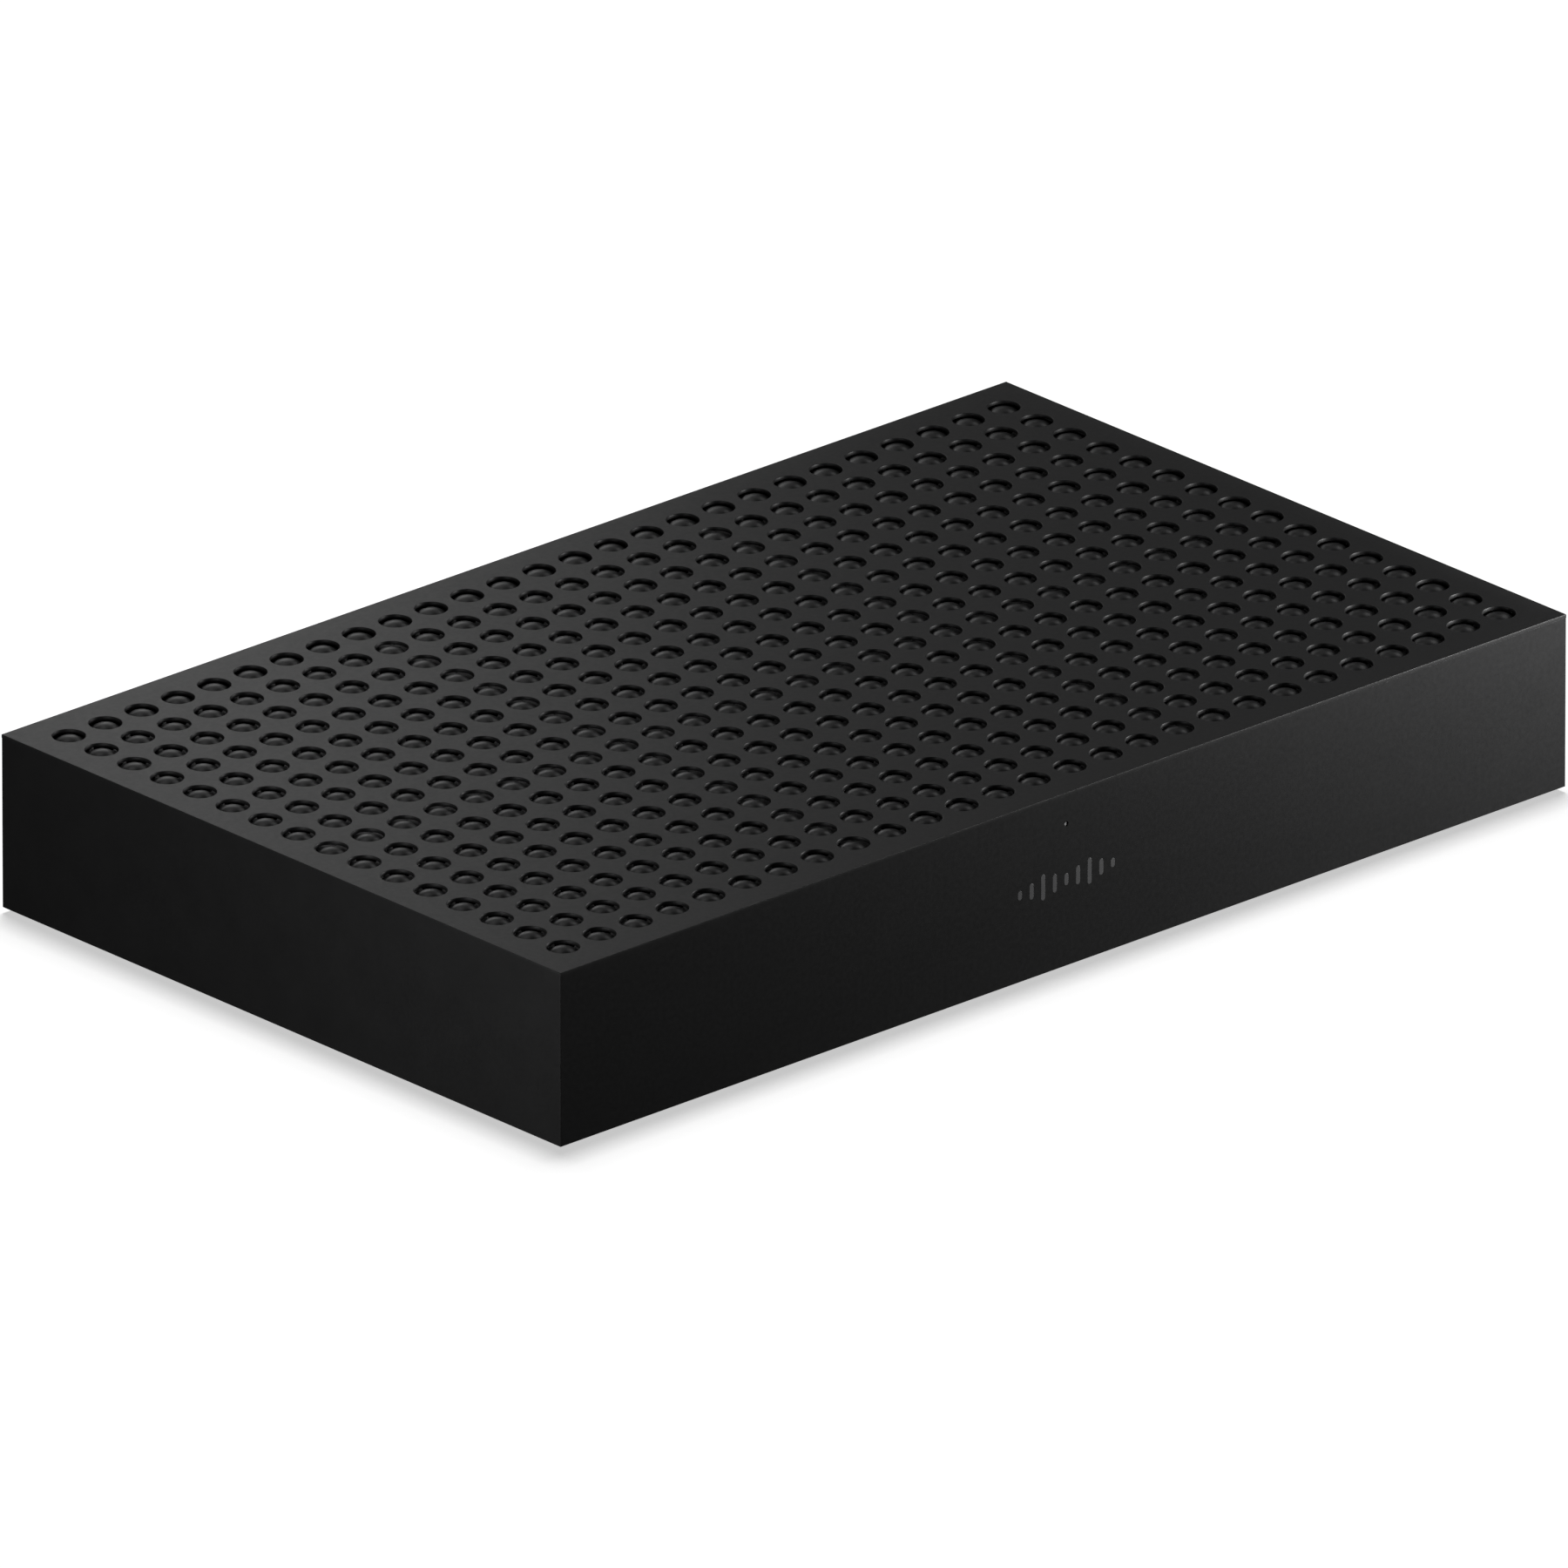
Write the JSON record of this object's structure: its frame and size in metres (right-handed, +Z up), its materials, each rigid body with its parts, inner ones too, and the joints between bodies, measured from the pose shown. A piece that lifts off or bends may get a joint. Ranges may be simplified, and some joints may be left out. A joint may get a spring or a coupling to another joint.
{
  "type": "networked audio amplifier",
  "caption": "Low flat box with a grid of domed round vents in its top: a networked multi-room amplifier and wireless mesh node with rear audio, network and mains sockets.",
  "frame": {"origin": "centre of the footprint, on the surface the feet stand on", "axes": "+X towards the right end seen from the front, +Y towards the rear sockets, +Z up; the status light faces -Y"},
  "size_m": [0.433, 0.263, 0.0615],
  "materials": {
    "satin_black_plate": "fine satin black coat",
    "black_moulding": "fine satin black",
    "tray_moulding": "satin black",
    "badge_inlay": "satin grey",
    "base_steel": "textured black powder coat",
    "panel_steel": "matt black powder coat",
    "foot_rubber": "soft matt",
    "insert_brass": "turned",
    "screw_steel": "zinc plated",
    "screw_black": "blackened",
    "light_window": "frosted",
    "board_green": "solder mask over glass fibre",
    "fuse_glass": "glass tube in plated clips",
    "copper_winding": "enamelled wire",
    "film_cap_yellow": "smooth case",
    "sink_aluminium": "mill finish",
    "sink_black": "black anodised",
    "capacitor_sleeve": "shrink sleeve",
    "ferrite": "sintered ferrite with yellow tape",
    "inlet_plastic": "fine grain",
    "contact_nickel": "nickel plated",
    "contact_gold": "gold flash",
    "chip_epoxy": "moulded epoxy",
    "thermal_pad": "soft silicone",
    "inductor_case": "pressed powder",
    "terminal_green": "smooth",
    "terminal_black": "smooth",
    "shield_tin": "tin plated sheet",
    "socket_black": "smooth",
    "insert_white": "smooth",
    "wire_jacket": "soft jacket",
    "aerial_film": "printed film on foam"
  },
  "bodies": {
    "chassis": {"top_plate": "satin_black_plate", "dome_trays": "tray_moulding", "wall_frame": "black_moulding", "front_badge": "badge_inlay", "base_plate": "base_steel", "rear_panel": "panel_steel", "feet": "foot_rubber", "mount_inserts": "insert_brass", "base_screws": "screw_black", "panel_screws": "screw_steel", "standoffs": "insert_brass", "board_screws": "screw_steel", "light_pipe": "light_window", "light_board": "board_green", "psu_board": "board_green", "fuse": "fuse_glass", "emi_choke": "copper_winding", "film_capacitors": "film_cap_yellow", "bridge_heat_sink": "sink_aluminium", "bulk_capacitors": "capacitor_sleeve", "pfc_inductor": "copper_winding", "main_transformer": "ferrite", "rectifier_heat_sink": "sink_aluminium", "supply_capacitors": "capacitor_sleeve", "mains_inlet": "inlet_plastic", "mains_pins": "contact_nickel", "amp_board_left": "board_green", "amp_board_right": "board_green", "amp_heat_sink_left": "sink_black", "amp_heat_sink_right": "sink_black", "amp_chips": "chip_epoxy", "thermal_pads": "thermal_pad", "output_inductors": "inductor_case", "speaker_headers": "terminal_black", "header_pins": "contact_nickel", "main_board": "board_green", "control_chips": "chip_epoxy", "processor_shield": "shield_tin", "processor_heat_sink": "sink_black", "rca_blocks": "socket_black", "rca_shells": "contact_nickel", "rca_inserts": "insert_white", "ethernet_jacks": "shield_tin", "ethernet_contacts": "contact_gold", "optical_jack": "socket_black", "trigger_jacks": "socket_black", "button_switch": "socket_black", "wifi_module": "shield_tin", "antennas": "aerial_film", "inner_leads": "wire_jacket"},
    "button": {"join_button": "terminal_black"},
    "shutter": {"optical_shutter": "socket_black"},
    "plug_1": {"speaker_plug_1": "terminal_green", "plug_screws_1": "screw_steel"},
    "plug_2": {"speaker_plug_2": "terminal_green", "plug_screws_2": "screw_steel"},
    "plug_3": {"speaker_plug_3": "terminal_green", "plug_screws_3": "screw_steel"},
    "plug_4": {"speaker_plug_4": "terminal_green", "plug_screws_4": "screw_steel"}
  },
  "joints": [
    {"name": "join_press", "type": "slide", "parent": "chassis", "child": "button", "axis": [0, -1, 0], "range_m": [0, 0.0008], "stiffness_N_per_m": 400, "springref_m": -0.0004},
    {"name": "shutter_swing", "type": "hinge", "parent": "chassis", "child": "shutter", "pos_m": [0.128, 0.122, 0.0211], "axis": [-1, 0, 0], "range_deg": [0, 84], "stiffness_Nm_per_rad": 0.00005},
    {"name": "plug_1_pull", "type": "slide", "parent": "chassis", "child": "plug_1", "axis": [0, 1, 0], "range_m": [0, 0.016]},
    {"name": "plug_2_pull", "type": "slide", "parent": "chassis", "child": "plug_2", "axis": [0, 1, 0], "range_m": [0, 0.016]},
    {"name": "plug_3_pull", "type": "slide", "parent": "chassis", "child": "plug_3", "axis": [0, 1, 0], "range_m": [0, 0.016]},
    {"name": "plug_4_pull", "type": "slide", "parent": "chassis", "child": "plug_4", "axis": [0, 1, 0], "range_m": [0, 0.016]}
  ]
}
